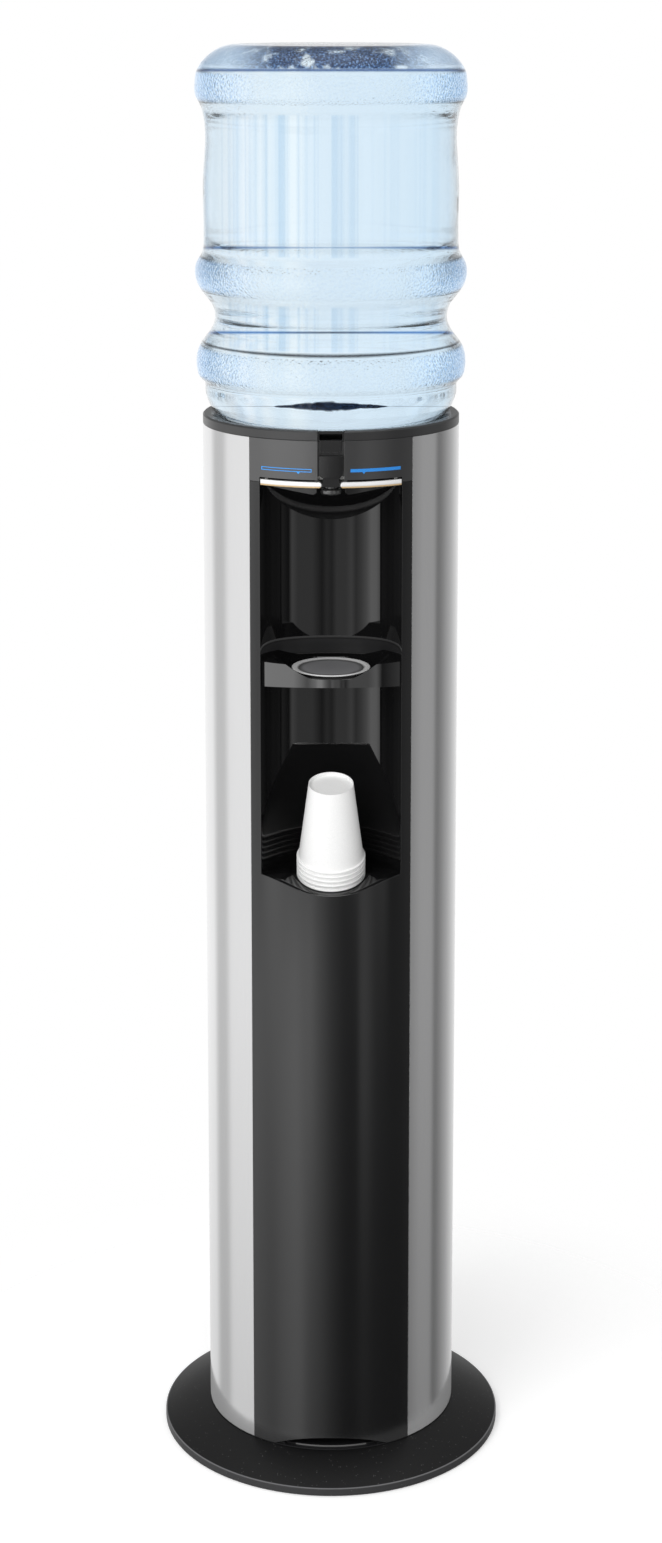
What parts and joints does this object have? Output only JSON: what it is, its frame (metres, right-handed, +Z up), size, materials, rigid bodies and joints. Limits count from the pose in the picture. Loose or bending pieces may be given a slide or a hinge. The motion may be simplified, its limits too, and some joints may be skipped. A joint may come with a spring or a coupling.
{
  "type": "water cooler",
  "caption": "Floor-standing round water cooler with a bottle on its top, press levers over a recessed niche, a drip dish, paper cups and a chilled reservoir.",
  "frame": {"origin": "on the floor, at the centre of the round column and of its base plate", "axes": "+Z up; the front with the levers and cups faces -Y; +X to the right as seen from the front"},
  "size_m": [0.3564, 0.3564, 1.4615],
  "materials": {
    "black_base": "satin",
    "rubber": "matte",
    "zinc_steel": "satin",
    "silver_steel": "satin",
    "rear_steel": "satin",
    "charcoal_plastic": "satin",
    "gloss_black": "gloss",
    "blue_mark": "satin",
    "dish_steel": "satin",
    "white_paper": "matte",
    "lever_chrome": "polished",
    "white_plastic": "satin",
    "clear_bottle": "gloss",
    "bottle_cap_blue": "satin",
    "stainless": "satin",
    "copper": "satin",
    "foam": "matte",
    "black_steel": "satin",
    "black_fittings": "satin",
    "green_rocker": "gloss",
    "silicone": "satin"
  },
  "bodies": {
    "cabinet": {"baffle": "white_plastic", "base_plate": "black_base", "base_screws": "zinc_steel", "capillary_tube": "copper", "collar": "charcoal_plastic", "compressor": "black_steel", "compressor_bolts": "zinc_steel", "compressor_grommets": "rubber", "condenser": "black_steel", "cup_tray": "gloss_black", "discharge_pipe": "copper", "evaporator_coil": "copper", "feed_probe": "white_plastic", "filter_drier": "copper", "foot_pads": "rubber", "front_panel": "charcoal_plastic", "front_posts": "zinc_steel", "insulation_left": "foam", "insulation_right": "foam", "lever_bracket": "white_plastic", "lever_pin": "zinc_steel", "mains_inlet": "black_fittings", "neck_well": "white_plastic", "niche_liner": "gloss_black", "niche_shelf": "gloss_black", "nozzle": "gloss_black", "plinth": "black_base", "rear_panel": "rear_steel", "rear_panel_screws": "zinc_steel", "rear_posts": "zinc_steel", "relay_cover": "black_fittings", "reservoir": "stainless", "reservoir_deck": "zinc_steel", "reservoir_lid": "white_plastic", "side_panel_left": "silver_steel", "side_panel_right": "silver_steel", "spout_block": "gloss_black", "spout_cover": "gloss_black", "suction_pipe": "copper", "switch_frame": "black_fittings", "tap_fascia": "charcoal_plastic", "temperature_marks": "blue_mark", "thermostat": "black_fittings", "valve_block": "white_plastic", "valve_spring_left": "zinc_steel", "valve_spring_right": "zinc_steel", "water_hoses": "silicone"},
    "water_bottle": {"bottle": "clear_bottle", "bottle_cap": "bottle_cap_blue"},
    "right_lever": {"lever_right": "gloss_black", "lever_bar_right": "lever_chrome"},
    "left_lever": {"lever_left": "gloss_black", "lever_bar_left": "lever_chrome"},
    "right_plunger": {"valve_plunger_right": "white_plastic"},
    "left_plunger": {"valve_plunger_left": "white_plastic"},
    "dish": {"drip_dish": "dish_steel"},
    "cups": {"cup_stack": "white_paper"},
    "last_cup": {"top_cup": "white_paper"},
    "knob": {"thermostat_knob": "black_fittings"},
    "rocker": {"switch_rocker": "green_rocker"}
  },
  "joints": [
    {"name": "bottle_lift", "type": "slide", "parent": "cabinet", "child": "water_bottle", "axis": [0, 0, 1], "range_m": [0, 0.25]},
    {"name": "right_lever_press", "type": "hinge", "parent": "cabinet", "child": "right_lever", "pos_m": [0, -0.104, 1.06], "axis": [1, 0, 0], "range_deg": [0, 12], "stiffness_Nm_per_rad": 0.9, "springref_deg": -1.72},
    {"name": "right_valve_travel", "type": "slide", "parent": "cabinet", "child": "right_plunger", "axis": [0, 1, 0], "range_m": [0, 0.00287], "deforming": ["valve_spring_right"]},
    {"name": "left_lever_press", "type": "hinge", "parent": "cabinet", "child": "left_lever", "pos_m": [0, -0.104, 1.06], "axis": [1, 0, 0], "range_deg": [0, 12], "stiffness_Nm_per_rad": 0.9, "springref_deg": -1.72},
    {"name": "left_valve_travel", "type": "slide", "parent": "cabinet", "child": "left_plunger", "axis": [0, 1, 0], "range_m": [0, 0.00287], "deforming": ["valve_spring_left"]},
    {"name": "drip_dish_lift", "type": "slide", "parent": "cabinet", "child": "dish", "axis": [0, 0, 1], "range_m": [0, 0.04]},
    {"name": "cup_stack_lift", "type": "slide", "parent": "cabinet", "child": "cups", "axis": [0, -0.2487, 0.9686], "range_m": [0, 0.04]},
    {"name": "top_cup_lift", "type": "slide", "parent": "cups", "child": "last_cup", "axis": [0, -0.2487, 0.9686], "range_m": [0, 0.045]},
    {"name": "thermostat_knob_turn", "type": "hinge", "parent": "cabinet", "child": "knob", "pos_m": [0, 0.1306, 0.7], "axis": [0, 1, 0], "range_deg": [-135, 135]},
    {"name": "power_switch_rock", "type": "hinge", "parent": "cabinet", "child": "rocker", "pos_m": [0, 0.1268, 0.146], "axis": [1, 0, 0], "range_deg": [-20, 0]}
  ],
  "couplings": [
    {"joint": "right_valve_travel", "follows": "right_lever_press", "m_per_rad": 0.013689},
    {"joint": "left_valve_travel", "follows": "left_lever_press", "m_per_rad": 0.013689}
  ]
}
